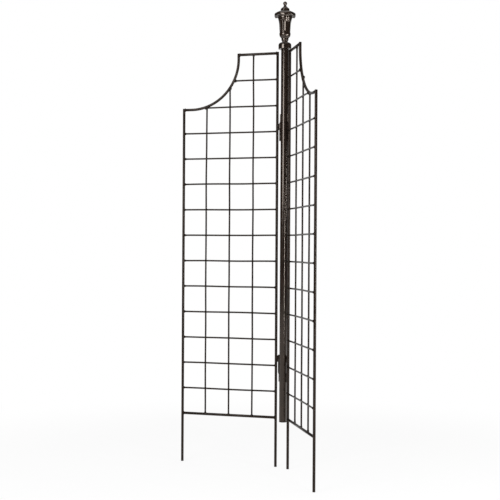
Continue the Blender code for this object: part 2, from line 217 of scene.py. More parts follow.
def coated_metal(
    name,
    coat,
    bloom,
    gloss,
    specular,
    mottle,
    grain,
    grain_depth,
    dent_depth,
    rubbed=(0.05, 0.036, 0.027),
    wear=0.56,
):
    """Metal with hammer dents under the powder coat. The coat thins to the rubbed colour
    along ridges."""
    finish, nodes, link, shader = add_finish(name)
    shader.inputs["Specular IOR Level"].default_value = specular
    shader.inputs["Specular Tint"].default_value = WARM_SHEEN
    paint = add_node(nodes, "ShaderNodeGroup", node_tree=POWDER_COAT)
    paint.inputs["Coat"].default_value = (*coat, 1)
    paint.inputs["Bloom"].default_value = (*bloom, 1)
    paint.inputs["Gloss"].default_value = gloss
    paint.inputs["Mottle"].default_value = mottle
    paint.inputs["Grain"].default_value = grain
    ridges = add_node(nodes, "ShaderNodeGroup", {"Start": wear}, node_tree=RUBBED_RIDGES)
    worn = add_node(nodes, "ShaderNodeMix", {"B": (*rubbed, 1)}, data_type="RGBA")
    link(ridges.outputs["Mask"], worn.inputs["Factor"])
    link(paint.outputs["Colour"], worn.inputs["A"])
    dust = add_node(nodes, "ShaderNodeGroup", {"Amount": DUST}, node_tree=SETTLED_DUST)
    dusty = add_node(nodes, "ShaderNodeMix", {"B": DUST_COLOUR}, data_type="RGBA")
    link(dust.outputs["Mask"], dusty.inputs["Factor"])
    link(worn.outputs["Result"], dusty.inputs["A"])
    link(dusty.outputs["Result"], shader.inputs["Base Color"])
    link(paint.outputs["Roughness"], shader.inputs["Roughness"])
    dents = add_node(nodes, "ShaderNodeTexNoise", {"Scale": 55.0, "Detail": 2.0})
    link(nodes.new("ShaderNodeTexCoord").outputs["Object"], dents.inputs["Vector"])
    hammered = add_node(nodes, "ShaderNodeBump", {"Strength": 0.6, "Distance": dent_depth})
    link(dents.outputs["Fac"], hammered.inputs["Height"])
    relief = add_node(nodes, "ShaderNodeBump", {"Strength": 0.35, "Distance": grain_depth})
    link(paint.outputs["Height"], relief.inputs["Height"])
    link(hammered.outputs["Normal"], relief.inputs["Normal"])
    link(relief.outputs["Normal"], shader.inputs["Normal"])
    return finish


bar_coat = coated_metal(
    "dark bronze coat on bar",
    coat=(0.0085, 0.0055, 0.0040),
    bloom=(0.0150, 0.0095, 0.0070),
    gloss=0.24,
    specular=0.20,
    mottle=22.0,
    grain=1100.0,
    grain_depth=0.04 * MM,
    dent_depth=0.10 * MM,
)


def pick(part, chosen):
    """Selects, in edit mode, just the vertices, edges or faces that chosen says yes to."""
    bpy.ops.mesh.select_mode(type=part)
    bpy.ops.mesh.select_all(action="DESELECT")
    mesh = bmesh.from_edit_mesh(bpy.context.object.data)
    for element in {"VERT": mesh.verts, "EDGE": mesh.edges, "FACE": mesh.faces}[part]:
        if chosen(element):
            element.select_set(True)
    mesh.select_flush_mode()
    bmesh.update_edit_mesh(bpy.context.object.data)


def work_on(piece):
    """Makes a piece the only one selected, and the one that operators act on."""
    bpy.ops.object.select_all(action="DESELECT")
    piece.select_set(True)
    bpy.context.view_layer.objects.active = piece


def settle(piece, name, body, coat, smooth_below=35):
    """Applies what is left on a finished piece, and gives it its name, finish and body."""
    work_on(piece)
    for modifier in [step.name for step in piece.modifiers]:
        bpy.ops.object.modifier_apply(modifier=modifier)
    bpy.ops.object.transform_apply()
    bpy.ops.object.shade_smooth_by_angle(angle=math.radians(smooth_below))
    piece.name = name
    piece.data.name = name
    piece.data.materials.clear()
    piece.data.materials.append(coat)
    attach(piece, body)
    return piece


def own_copy(model, place):
    """A copy of a model, with a mesh of its own, moved by a matrix."""
    copy = model.copy()
    copy.data = model.data.copy()
    bpy.context.collection.objects.link(copy)
    copy.matrix_world = place @ model.matrix_world
    return copy


def discard(*models):
    for model in models:
        bpy.data.objects.remove(model)


def panel_place(side):
    """Turns what lies along +X from the hinge axis to where that panel stands."""
    low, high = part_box(f"{side}_ring_upper")
    axis = (low + high) / 2
    turn = Matrix.Rotation(PANEL_HEADINGS[side], 4, "Z")
    return Matrix.Translation((axis.x, axis.y, 0)) @ turn


def hang_on_both(model, part, coat, in_cad=True):
    """Puts a copy of a model on each panel, in place of that CAD node if there is one."""
    bpy.context.view_layer.update()
    for side in PANEL_HEADINGS:
        piece = own_copy(model, panel_place(side))
        settle(piece, f"{side}_{part}_coated", f"{side}_panel", coat)
        if in_cad:
            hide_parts(f"{side}_{part}")
    discard(model)


def round_bar(start, end, radius, sides, eased):
    """A round bar with a square sawn end at start and at end."""
    start, end = Vector(start), Vector(end)
    run = end - start
    bpy.ops.object.select_all(action="DESELECT")
    bpy.ops.mesh.primitive_cylinder_add(
        vertices=sides,
        radius=radius,
        depth=run.length,
        location=(start + end) / 2,
        rotation=run.to_track_quat("Z", "X").to_euler(),
    )
    bpy.ops.object.mode_set(mode="EDIT")
    pick("FACE", lambda face: len(face.verts) == sides)
    bpy.ops.mesh.bevel(offset=eased, segments=2, affect="EDGES")
    bpy.ops.object.mode_set(mode="OBJECT")
    return bpy.context.object


for part, start, end in (
    ("inner_stile", (INNER_U, 0, 0), (INNER_U, 0, TOP_Z + BAR_RADIUS)),
    ("outer_stile", (OUTER_U, 0, 0), (OUTER_U, 0, SHOULDER_RUN_Z + BAR_RADIUS)),
    ("bottom_rail", (INNER_U, 0, BOTTOM_Z), (OUTER_U, 0, BOTTOM_Z)),
    ("top_rail", (INNER_U, 0, TOP_Z), (SHOULDER_U, 0, TOP_Z)),
):
    bar = round_bar(start, end, BAR_RADIUS, BAR_SIDES, SAWN_EDGE)
    hang_on_both(bar, part, bar_coat)

# Arc rail: the same bar, bent cold to a quarter circle for the panel's shoulder, with a
# short straight left at each end. Its upper end stands a little proud of the top rail.
ARC_RADIUS = 230.0 * MM
ARC_CENTRE_U = 431.64375 * MM
ARC_CENTRE_Z = 1897.7 * MM
ARC_STEPS = 40


def start_rod(sides, radius, place):
    """Starts a rod in edit mode from a disc that faces along Z, with the disc selected."""
    bpy.ops.object.select_all(action="DESELECT")
    bpy.ops.mesh.primitive_circle_add(
        vertices=sides, radius=radius, fill_type="NGON", location=place
    )
    bpy.ops.object.transform_apply()
    bpy.ops.object.mode_set(mode="EDIT")
    bpy.ops.mesh.select_mode(type="FACE")
    bpy.ops.mesh.select_all(action="SELECT")


def face_outward():
    """Turns the faces of what is being edited outward, and ends the editing."""
    bpy.ops.mesh.select_all(action="SELECT")
    bpy.ops.mesh.normals_make_consistent(inside=False)
    bpy.ops.object.mode_set(mode="OBJECT")
    return bpy.context.object


start_rod(BAR_SIDES, BAR_RADIUS, (SHOULDER_U, 0, TOP_Z + BAR_RADIUS))
drop = ARC_CENTRE_Z - TOP_Z - BAR_RADIUS
bpy.ops.mesh.extrude_region_move(TRANSFORM_OT_translate={"value": (0, 0, drop)})
bpy.ops.mesh.spin(
    steps=ARC_STEPS,
    angle=math.pi / 2,
    center=(ARC_CENTRE_U, 0, ARC_CENTRE_Z),
    axis=(0, 1, 0),
)
run = OUTER_U - ARC_CENTRE_U
bpy.ops.mesh.extrude_region_move(TRANSFORM_OT_translate={"value": (run, 0, 0)})
pick("FACE", lambda face: len(face.verts) == BAR_SIDES)
bpy.ops.mesh.bevel(offset=SAWN_EDGE, segments=2, affect="EDGES")
hang_on_both(face_outward(), "arc_rail", bar_coat)

# Crossbars and uprights: thin round wire, cut to length. The crossbars lie on one face of
# the panel and the uprights on the other. Welding has left each very slightly bowed.
WIRE_RADIUS = 3.95 * MM
WIRE_OFFSET = 4.00 * MM
WIRE_SIDES = 14
WIRE_CUTS = 23
WIRE_EDGE = 0.5 * MM
WIRE_BOW = 3.2 * MM
CELL_WIDTH = 114.3 * MM
CELL_HEIGHT = 120.65 * MM
ROWS = 14
COLUMNS = 4
INTO_BAR = 1.6 * MM
CROSSBAR_HEIGHTS = [TOP_Z - row * CELL_HEIGHT for row in range(1, ROWS)]
UPRIGHT_PLACES = [INNER_U + column * CELL_WIDTH for column in range(1, COLUMNS)]

wire_coat = coated_metal(
    "dark bronze coat on wire",
    coat=(0.0075, 0.0052, 0.0040),
    bloom=(0.0130, 0.0090, 0.0068),
    rubbed=(0.045, 0.034, 0.026),
    gloss=0.14,
    specular=0.14,
    mottle=30.0,
    grain=1200.0,
    grain_depth=0.015 * MM,
    dent_depth=0.04 * MM,
)
bow = bpy.data.textures.new("bow left by welding", "CLOUDS")
bow.noise_scale = 0.21
bow.noise_depth = 0


def let_bow(piece, direction):
    """Adds the welding's slow bow, which follows a piece's place in the whole trellis."""
    step = piece.modifiers.new(f"bow {direction}", "DISPLACE")
    step.texture = bow
    step.texture_coords = "GLOBAL"
    step.direction = direction
    step.space = "LOCAL"
    step.mid_level = 0.5
    step.strength = WIRE_BOW


def wire(start, end, direction):
    """A thin bar cut into short lengths, so that it can bow."""
    piece = round_bar(start, end, WIRE_RADIUS, WIRE_SIDES, WIRE_EDGE)
    bpy.ops.object.mode_set(mode="EDIT")
    long_enough = (Vector(end) - Vector(start)).length / 2
    pick("EDGE", lambda edge: edge.calc_length() > long_enough)
    bpy.ops.mesh.subdivide(number_cuts=WIRE_CUTS)
    bpy.ops.object.mode_set(mode="OBJECT")
    bpy.ops.object.transform_apply()
    let_bow(piece, direction)
    return piece


def arc_beside(height):
    """How far out the arc rail's centreline is at a height, or None below the arc."""
    below = ARC_CENTRE_Z - height
    if below >= ARC_RADIUS:
        return None
    return ARC_CENTRE_U - math.sqrt(ARC_RADIUS**2 - below**2)


def arc_above(distance):
    """How high the arc rail's centreline is at a distance, or None nearer the post."""
    before = ARC_CENTRE_U - distance
    if before >= ARC_RADIUS:
        return None
    return ARC_CENTRE_Z - math.sqrt(ARC_RADIUS**2 - before**2)


bar_face = math.sqrt(BAR_RADIUS**2 - WIRE_OFFSET**2)
for row, height in enumerate(CROSSBAR_HEIGHTS, start=1):
    end = (arc_beside(height) or OUTER_U) - bar_face + INTO_BAR
    start = INNER_U + bar_face - INTO_BAR
    crossbar = wire((start, -WIRE_OFFSET, height), (end, -WIRE_OFFSET, height), "Z")
    hang_on_both(crossbar, f"crossbar_{row:02d}", wire_coat)

for column, distance in enumerate(UPRIGHT_PLACES, start=1):
    top = (arc_above(distance) or TOP_Z) - bar_face + INTO_BAR
    foot = BOTTOM_Z + bar_face - INTO_BAR
    upright = wire((distance, WIRE_OFFSET, foot), (distance, WIRE_OFFSET, top), "X")
    hang_on_both(upright, f"upright_{column}", wire_coat)

# Weld beads on the panels: run by hand and coated over. Small nuggets where two wires
# cross, a lump where a wire meets a bar, and a rippled collar where a rail meets a stile.
weld_coat = coated_metal(
    "coat over weld",
    coat=(0.0060, 0.0042, 0.0032),
    bloom=(0.0120, 0.0085, 0.0064),
    gloss=0.45,
    specular=0.28,
    mottle=160.0,
    grain=700.0,
    grain_depth=0.5 * MM,
    dent_depth=0.2 * MM,
    wear=0.57,
)
lumps = bpy.data.textures.new("lumps in weld", "CLOUDS")
lumps.noise_scale = 0.0026
lumps.noise_depth = 1
chance = random.Random(41)
NUGGET_TIP = 0.55
NUGGET_DRAWN = 0.35
NUGGET_NARROWED = 0.8


def make_lumpy(piece, depth):
    """Makes a bead uneven, each one differently."""
    step = piece.modifiers.new("lumps", "DISPLACE")
    step.texture = lumps
    step.texture_coords = "GLOBAL"
    step.mid_level = 0.45
    step.strength = depth


def nugget(lengths, segments, rings):
    """A blob of weld, flattened to its lengths, its +X pole drawn out along the wire."""
    bpy.ops.object.select_all(action="DESELECT")
    bpy.ops.mesh.primitive_uv_sphere_add(segments=segments, ring_count=rings, radius=1)
    bpy.ops.object.mode_set(mode="EDIT")
    bpy.ops.transform.rotate(value=math.pi / 2, orient_axis="Y", center_override=(0, 0, 0))
    bpy.ops.transform.resize(value=lengths, center_override=(0, 0, 0))
    pick("VERT", lambda corner: corner.co.x > NUGGET_TIP * lengths[0])
    bpy.ops.transform.translate(value=(NUGGET_DRAWN * lengths[0], 0, 0))
    narrowed = (1, NUGGET_NARROWED, NUGGET_NARROWED)
    bpy.ops.transform.resize(value=narrowed, center_override=(0, 0, 0))
    bpy.ops.object.mode_set(mode="OBJECT")
    return bpy.context.object


def joined_copies(model, places):
    """A copy of a model at each place, joined in one mesh."""
    copies = [own_copy(model, place) for place in places]
    discard(model)
    bpy.context.view_layer.update()
    work_on(copies[0])
    for copy in copies:
        copy.select_set(True)
    bpy.ops.object.join()
    bpy.ops.object.transform_apply()
    return bpy.context.object


def hand_laid(places):
    """The same places, each turned and sized a little differently."""
    return [
        place
        @ Matrix.Rotation(chance.uniform(-0.5, 0.5), 4, "X")
        @ Matrix.Scale(chance.uniform(0.9, 1.1), 4)
        for place in places
    ]


def facing(place, direction):
    """A place whose +X points along direction."""
    turn = Vector(direction).to_track_quat("X", "Z").to_matrix().to_4x4()
    return Matrix.Translation(place) @ turn


CROSSING = (4.8 * MM, 4.0 * MM, 4.8 * MM)
CROSSING_MARGIN = 10 * MM
crossings = [
    Matrix.Translation((distance, 0, height))
    for height in CROSSBAR_HEIGHTS
    for distance in UPRIGHT_PLACES
    if distance < (arc_beside(height) or OUTER_U) - CROSSING_MARGIN
    and height < (arc_above(distance) or TOP_Z) - CROSSING_MARGIN
]
crossing_welds = joined_copies(nugget(CROSSING, 8, 5), hand_laid(crossings))
let_bow(crossing_welds, "X")
let_bow(crossing_welds, "Z")
make_lumpy(crossing_welds, depth=0.9 * MM)
hang_on_both(crossing_welds, "crossing_welds", weld_coat, in_cad=False)

LUMP = (5.6 * MM, 5.2 * MM, 5.8 * MM)
LUMP_SET = BAR_RADIUS - 0.5 * MM
LUMP_ON_ARC = 1.35
LUMP_DEPTH = 1.3 * MM
crossbar_ends = []
for height in CROSSBAR_HEIGHTS:
    outer = arc_beside(height)
    crossbar_ends += [
        ((INNER_U + LUMP_SET, -WIRE_OFFSET, height), (1, 0, 0), None),
        (((outer or OUTER_U) - LUMP_SET, -WIRE_OFFSET, height), (-1, 0, 0), outer),
    ]
upright_ends = []
for distance in UPRIGHT_PLACES:
    top = arc_above(distance)
    upright_ends += [
        ((distance, WIRE_OFFSET, BOTTOM_Z + LUMP_SET), (0, 0, 1), None),
        ((distance, WIRE_OFFSET, (top or TOP_Z) - LUMP_SET), (0, 0, -1), top),
    ]
for part, ends, direction in (
    ("crossbar_welds", crossbar_ends, "Z"),
    ("upright_welds", upright_ends, "X"),
):
    places = [
        facing(place, way) @ Matrix.Scale(LUMP_ON_ARC if on_arc else 1.0, 4)
        for place, way, on_arc in ends
    ]
    welds = joined_copies(nugget(LUMP, 12, 8), hand_laid(places))
    let_bow(welds, direction)
    make_lumpy(welds, depth=LUMP_DEPTH)
    hang_on_both(welds, part, weld_coat, in_cad=False)

COLLAR_SEGMENTS = 28
COLLAR_BEAD = 2.2 * MM
COLLAR_RADIUS = BAR_RADIUS + 0.3 * MM
COLLAR_RIPPLE = 0.8
COLLAR_FLATTENED = 0.76


def collar():
    """A fillet bead round a bar that butts, along +X, on an upright bar of its size."""
    bpy.ops.object.select_all(action="DESELECT")
    bpy.ops.mesh.primitive_torus_add(
        major_segments=COLLAR_SEGMENTS,
        minor_segments=8,
        major_radius=COLLAR_RADIUS,
        minor_radius=COLLAR_BEAD,
    )
    bpy.ops.object.mode_set(mode="EDIT")
    bpy.ops.transform.rotate(value=math.pi / 2, orient_axis="Y", center_override=(0, 0, 0))
    for segment in range(COLLAR_SEGMENTS):
        angle = 2 * math.pi * segment / COLLAR_SEGMENTS
        across = COLLAR_RADIUS * math.sin(angle)
        pick("VERT", lambda corner: same_angle(math.atan2(corner.co.y, corner.co.z), angle))
        flank = math.sqrt(max(0.0, BAR_RADIUS**2 - across**2))
        bpy.ops.transform.translate(value=(flank, 0, 0))
        ripple = 1.0 if segment % 2 else COLLAR_RIPPLE
        bpy.ops.transform.resize(
            value=(ripple, ripple, ripple),
            center_override=(flank, across, COLLAR_RADIUS * math.cos(angle)),
        )
    bpy.ops.mesh.select_all(action="SELECT")
    bpy.ops.transform.resize(value=(1, COLLAR_FLATTENED, 1), center_override=(0, 0, 0))
    bpy.ops.object.mode_set(mode="OBJECT")
    return bpy.context.object


def same_angle(one, other):
    return abs((one - other + math.pi) % (2 * math.pi) - math.pi) < 0.01


rail_joints = (
    facing((INNER_U, 0, BOTTOM_Z), (1, 0, 0)),
    facing((OUTER_U, 0, BOTTOM_Z), (-1, 0, 0)),
    facing((INNER_U, 0, TOP_Z), (1, 0, 0)),
    facing((SHOULDER_U, 0, TOP_Z), (-1, 0, 0)),
    facing((OUTER_U, 0, SHOULDER_RUN_Z), (-1, 0, 0)),
)
rail_welds = joined_copies(collar(), rail_joints)
make_lumpy(rail_welds, depth=0.8 * MM)
hang_on_both(rail_welds, "rail_welds", weld_coat, in_cad=False)

# Rings: short lengths of thick tube, two welded to each inner stile by a bead down either
# side. Each turns on one of the post's hooks, so the panel swings.
RING_RADIUS = 6.79 * MM
RING_WALL = 2.25 * MM
RING_HEIGHT = 30.0 * MM
RING_SIDES = 40
RING_RIM = 0.5 * MM
RING_TOPS = {"upper": 1590.7 * MM, "lower": 517.6 * MM}

hook_coat = coated_metal(
    "dark bronze coat on hooks and rings",
    coat=(0.0085, 0.0055, 0.0040),
    bloom=(0.0150, 0.0095, 0.0070),
    rubbed=(0.06, 0.044, 0.032),
    gloss=0.26,
    specular=0.60,
    mottle=60.0,
    grain=1000.0,
    grain_depth=0.12 * MM,
    dent_depth=0.15 * MM,
)


def tube(sides, radius, wall, rim, length, middle):
    """An upright length of tube, with both its rims rounded."""
    bpy.ops.object.select_all(action="DESELECT")
    bpy.ops.mesh.primitive_cylinder_add(
        vertices=sides, radius=radius, depth=length, location=middle
    )
    bpy.ops.object.mode_set(mode="EDIT")
    pick("FACE", lambda face: len(face.verts) == sides)
    bpy.ops.mesh.inset(thickness=wall)
    bpy.ops.mesh.delete(type="FACE")
    pick("EDGE", lambda edge: edge.is_boundary)
    bpy.ops.mesh.bridge_edge_loops()
    pick("EDGE", lambda edge: edge.calc_face_angle(0) > math.radians(60))
    bpy.ops.mesh.bevel(offset=rim, segments=3, affect="EDGES")
    return face_outward()


for level, ring_top in RING_TOPS.items():
    middle = (0, 0, ring_top - RING_HEIGHT / 2)
    ring = tube(RING_SIDES, RING_RADIUS, RING_WALL, RING_RIM, RING_HEIGHT, middle)
    hang_on_both(ring, f"ring_{level}", hook_coat)

SIDE_BEAD = (1.9 * MM, 2.1 * MM, 12.5 * MM)
SIDE_BEAD_RINGS = 16
SIDE_BEAD_FULLNESS = 0.6
SIDE_BEAD_RIPPLE = 0.84
RING_BEAD_OUT = 7.3 * MM
RING_BEAD_ACROSS = 3.5 * MM


def side_bead():
    """An upright bead that fills the groove between two round parts, laid in ripples."""
    bpy.ops.object.select_all(action="DESELECT")
    bpy.ops.mesh.primitive_uv_sphere_add(segments=12, ring_count=SIDE_BEAD_RINGS, radius=1)
    bpy.ops.object.mode_set(mode="EDIT")
    for ring in range(1, SIDE_BEAD_RINGS):
        height = math.cos(math.pi * ring / SIDE_BEAD_RINGS)
        fuller = 1 / math.sin(math.pi * ring / SIDE_BEAD_RINGS) ** SIDE_BEAD_FULLNESS
        fuller *= 1.0 if ring % 2 else SIDE_BEAD_RIPPLE
        pick("VERT", lambda corner: abs(corner.co.z - height) < 0.01)
        bpy.ops.transform.resize(value=(fuller, fuller, 1), center_override=(0, 0, 0))
    bpy.ops.mesh.select_all(action="SELECT")
    bpy.ops.transform.resize(value=SIDE_BEAD, center_override=(0, 0, 0))
    bpy.ops.object.mode_set(mode="OBJECT")
    return bpy.context.object


ring_beads = [
    Matrix.Translation((RING_BEAD_OUT, across, ring_top - RING_HEIGHT / 2))
    for ring_top in RING_TOPS.values()
    for across in (-RING_BEAD_ACROSS, RING_BEAD_ACROSS)
]
ring_welds = joined_copies(side_bead(), ring_beads)
make_lumpy(ring_welds, depth=0.5 * MM)
hang_on_both(ring_welds, "ring_welds", weld_coat, in_cad=False)

# Hooks: four short round rods, two on each side of the post. One end is welded to the post,
# the rod jogs out to the hinge's axis, and its rounded tip goes through a ring. The upper
# ones point down and rest on their rings; the lower ones are the same rods upside down.
HOOK_HEADINGS = {"left": math.radians(187), "right": math.radians(7)}
HOOK_RADIUS = 3.96 * MM
HOOK_JOG = 3.825 * MM
HOOK_BEND_HEIGHT = 14.0 * MM
HOOK_RISE = 44.0 * MM
HOOK_REACH = 51.0 * MM
HOOK_TIP = 3.5 * MM
HOOK_SIDES = 24
HOOK_BEND_STEPS = 10
HOOK_SEAT = -2.31 * MM
HOOK_TIP_ROUND = 3.0 * MM
HOOK_END_EASED = 1.5 * MM
HOOK_BEAD_IN = -7.7 * MM
HOOK_BEAD_ACROSS = 3.2 * MM
HOOK_BEAD_HEIGHT = 29.5 * MM

half_turn = 2 * math.atan(HOOK_JOG / HOOK_BEND_HEIGHT)
bend_radius = HOOK_BEND_HEIGHT / (2 * math.sin(half_turn))
start_rod(HOOK_SIDES, HOOK_RADIUS, (0, 0, -RING_HEIGHT - HOOK_REACH))
lower_leg = RING_HEIGHT + HOOK_REACH + HOOK_SEAT
bpy.ops.mesh.extrude_region_move(TRANSFORM_OT_translate={"value": (0, 0, lower_leg)})
bpy.ops.mesh.spin(
    steps=HOOK_BEND_STEPS,
    angle=half_turn,
    center=(-bend_radius, 0, HOOK_SEAT),
    axis=(0, 1, 0),
)
bpy.ops.mesh.spin(
    steps=HOOK_BEND_STEPS,
    angle=half_turn,
    center=(bend_radius - HOOK_JOG, 0, HOOK_SEAT + HOOK_BEND_HEIGHT),
    axis=(0, -1, 0),
)
upper_leg = HOOK_RISE - HOOK_SEAT - HOOK_BEND_HEIGHT
bpy.ops.mesh.extrude_region_move(TRANSFORM_OT_translate={"value": (0, 0, upper_leg)})
pick("FACE", lambda face: len(face.verts) == HOOK_SIDES and face.calc_center_median().z < 0)
bpy.ops.mesh.bevel(offset=HOOK_TIP_ROUND, segments=5, affect="EDGES")
pick("FACE", lambda face: len(face.verts) == HOOK_SIDES and face.calc_center_median().z > 0)
bpy.ops.mesh.bevel(offset=HOOK_END_EASED, segments=3, affect="EDGES")
hook_model = face_outward()

lower_seat = RING_TOPS["lower"] + HOOK_TIP - HOOK_REACH - RING_HEIGHT
HOOK_LEVELS = (("upper", RING_TOPS["upper"], 0), ("lower", lower_seat, math.pi))
hook_beads = []
for side, heading in HOOK_HEADINGS.items():
    for level, height, roll in HOOK_LEVELS:
        place = Matrix.Translation((*panel_place(side).translation.xy, height))
        place = place @ Matrix.Rotation(heading, 4, "Z") @ Matrix.Rotation(roll, 4, "X")
        hook = own_copy(hook_model, place)
        settle(hook, f"hook_{side}_{level}_coated", "post", hook_coat)
        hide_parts(f"hook_{side}_{level}")
        for across in (-HOOK_BEAD_ACROSS, HOOK_BEAD_ACROSS):
            bead = (HOOK_BEAD_IN, across, HOOK_BEAD_HEIGHT)
            hook_beads.append(place @ Matrix.Translation(bead))
discard(hook_model)
hook_welds = joined_copies(side_bead(), hook_beads)
make_lumpy(hook_welds, depth=0.5 * MM)
settle(hook_welds, "hook_welds_coated", "post", weld_coat, smooth_below=60)

# Post tube: one length of round steel tube, with its cut rims just broken. Its top is
# hidden in the cap, and its foot hangs a little below the panels' bottom rails.
POST_RADIUS = 17.45 * MM
POST_WALL = 1.65 * MM
POST_BOTTOM_Z = 214.6 * MM
POST_TOP_Z = 1957.7 * MM
POST_SIDES = 72
POST_RIM = 0.4 * MM
cap_low, cap_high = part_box("post_cap")
POST_AXIS = (cap_low + cap_high) / 2

post_coat = coated_metal(
    "dark bronze coat on post",
    coat=(0.0105, 0.0066, 0.0046),
    bloom=(0.0190, 0.0118, 0.0084),
    gloss=0.19,
    specular=0.55,
    mottle=38.0,
    grain=1000.0,
    grain_depth=0.06 * MM,
    dent_depth=0.15 * MM,
)
length = POST_TOP_Z - POST_BOTTOM_Z
middle = (POST_AXIS.x, POST_AXIS.y, (POST_TOP_Z + POST_BOTTOM_Z) / 2)
post_tube = tube(POST_SIDES, POST_RADIUS, POST_WALL, POST_RIM, length, middle)
settle(post_tube, "post_tube_coated", "post", post_coat)
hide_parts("post_tube")

# End plug: black moulded plastic, pressed into the tube's foot. Its flange covers the cut
# rim and has a shallow dish; fins round its spigot grip the bore.
PLUG_STEPS = 72
PLUG_GAP = 0.3 * MM
PLUG_FLANGE = 3.0 * MM
PLUG_DISH = 0.9 * MM
PLUG_DISH_RADII = (13.0 * MM, 14.1 * MM)
PLUG_EDGE = 0.5 * MM
PLUG_SPIGOT = 15.0 * MM
PLUG_FIN_RADIUS = 15.55 * MM
PLUG_CORE_RADIUS = 14.4 * MM
PLUG_FINS = (3.5 * MM, 7.0 * MM, 10.5 * MM)
PLUG_FIN_LEAD = 0.4 * MM
PLUG_FIN_DEPTH = 1.6 * MM

plug_plastic, nodes, link, shader = add_finish("moulded black plastic")
shader.inputs["Specular IOR Level"].default_value = 0.4
spark = add_node(nodes, "ShaderNodeTexNoise", {"Scale": 1500.0, "Detail": 2.0})
link(nodes.new("ShaderNodeTexCoord").outputs["Object"], spark.inputs["Vector"])
tint = nodes.new("ShaderNodeValToRGB")
tint.color_ramp.elements[0].color = (0.012, 0.011, 0.011, 1)
tint.color_ramp.elements[1].color = (0.024, 0.022, 0.021, 1)
link(spark.outputs["Fac"], tint.inputs["Fac"])
link(tint.outputs["Color"], shader.inputs["Base Color"])
sheen_patches = add_node(nodes, "ShaderNodeMapRange", {"To Min": 0.45, "To Max": 0.62})
link(spark.outputs["Fac"], sheen_patches.inputs["Value"])
link(sheen_patches.outputs["Result"], shader.inputs["Roughness"])
relief = add_node(nodes, "ShaderNodeBump", {"Strength": 0.4, "Distance": 0.1 * MM})
link(spark.outputs["Fac"], relief.inputs["Height"])
link(relief.outputs["Normal"], shader.inputs["Normal"])


def turned(outline, steps, heading=0.0, closed=True):
    """A part turned about the post's axis from an outline of (radius, height) points, the
    first of them drawn along heading. An outline that isn't closed ends on the axis."""
    out = Vector((math.cos(heading), math.sin(heading), 0))
    centre = Vector((POST_AXIS.x, POST_AXIS.y, 0))
    points = [centre + radius * out + Vector((0, 0, height)) for radius, height in outline]
    bpy.ops.object.select_all(action="DESELECT")
    bpy.ops.mesh.primitive_plane_add(size=1 * MM, location=points[0])
    bpy.ops.object.transform_apply()
    bpy.ops.object.mode_set(mode="EDIT")
    bpy.ops.mesh.select_mode(type="VERT")
    bpy.ops.mesh.select_all(action="SELECT")
    bpy.ops.mesh.merge(type="CENTER")
    for here, there in zip(points, points[1:]):
        bpy.ops.mesh.extrude_region_move(TRANSFORM_OT_translate={"value": there - here})
    if closed:
        pick("VERT", lambda corner: len(corner.link_edges) == 1)
        bpy.ops.mesh.edge_face_add()
    bpy.ops.mesh.select_all(action="SELECT")
    bpy.ops.mesh.spin(steps=steps, angle=2 * math.pi, center=centre, axis=(0, 0, 1))
    bpy.ops.mesh.select_all(action="SELECT")
    bpy.ops.mesh.remove_doubles(threshold=0.002 * MM)
    return face_outward()


def ease_corners(piece, radius, sharper_than):
    """Rounds the corners that turning left sharp."""
    step = piece.modifiers.new("eased corners", "BEVEL")
    step.width = radius
    step.segments = 3
    step.limit_method = "ANGLE"
    step.angle_limit = math.radians(sharper_than)
    step.use_clamp_overlap = True


foot = POST_BOTTOM_Z - PLUG_GAP
plug_outline = [
    (0, foot - PLUG_FLANGE + PLUG_DISH),
    (PLUG_DISH_RADII[0], foot - PLUG_FLANGE + PLUG_DISH),
    (PLUG_DISH_RADII[1], foot - PLUG_FLANGE),
    (POST_RADIUS, foot - PLUG_FLANGE),
    (POST_RADIUS, foot),
    (PLUG_CORE_RADIUS, foot),
]
for fin in PLUG_FINS:
    plug_outline += [
        (PLUG_CORE_RADIUS, foot + fin),
        (PLUG_FIN_RADIUS, foot + fin + PLUG_FIN_LEAD),
        (PLUG_CORE_RADIUS, foot + fin + PLUG_FIN_DEPTH),
    ]
plug_outline += [(PLUG_CORE_RADIUS, foot + PLUG_SPIGOT), (0, foot + PLUG_SPIGOT)]
plug = turned(plug_outline, PLUG_STEPS, closed=False)
ease_corners(plug, PLUG_EDGE, sharper_than=40)
settle(plug, "post_end_plug_moulded", "post", plug_plastic)
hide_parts("post_end_plug")

# Cap: a cast metal cup with a domed top. Its socket slips over the post tube, and the
# stud that holds the finial down comes up through the web over the socket.
CAP_Z = 1932.5 * MM
CAP_RADIUS = 30.0 * MM
CAP_LIP = 18.5 * MM
CAP_SHOULDER = 12.0 * MM
CAP_CROWN_RADIUS = 16.0 * MM
CAP_WEB = 5.0 * MM
CAP_BORE = POST_RADIUS + 0.3 * MM
CAP_EDGE = 0.9 * MM
STUD_HOLE_RADIUS = 4.3 * MM
CASTING_STEPS = 96

cast_coat = coated_metal(
    "dark bronze coat on castings",
    coat=(0.0085, 0.0052, 0.0036),
    bloom=(0.0190, 0.0115, 0.0080),
    rubbed=(0.070, 0.048, 0.034),
    gloss=0.17,
    specular=0.75,
    mottle=70.0,
    grain=650.0,
    grain_depth=0.06 * MM,
    dent_depth=0.10 * MM,
    wear=0.55,
)


def arc_points(centre, radii, start, end, steps):
    """Points along an ellipse from one angle to another, in degrees."""
    sweep = end - start
    angles = [math.radians(start + sweep * step / steps) for step in range(steps + 1)]
    return [
        (centre[0] + radii[0] * math.cos(angle), centre[1] + radii[1] * math.sin(angle))
        for angle in angles
    ]


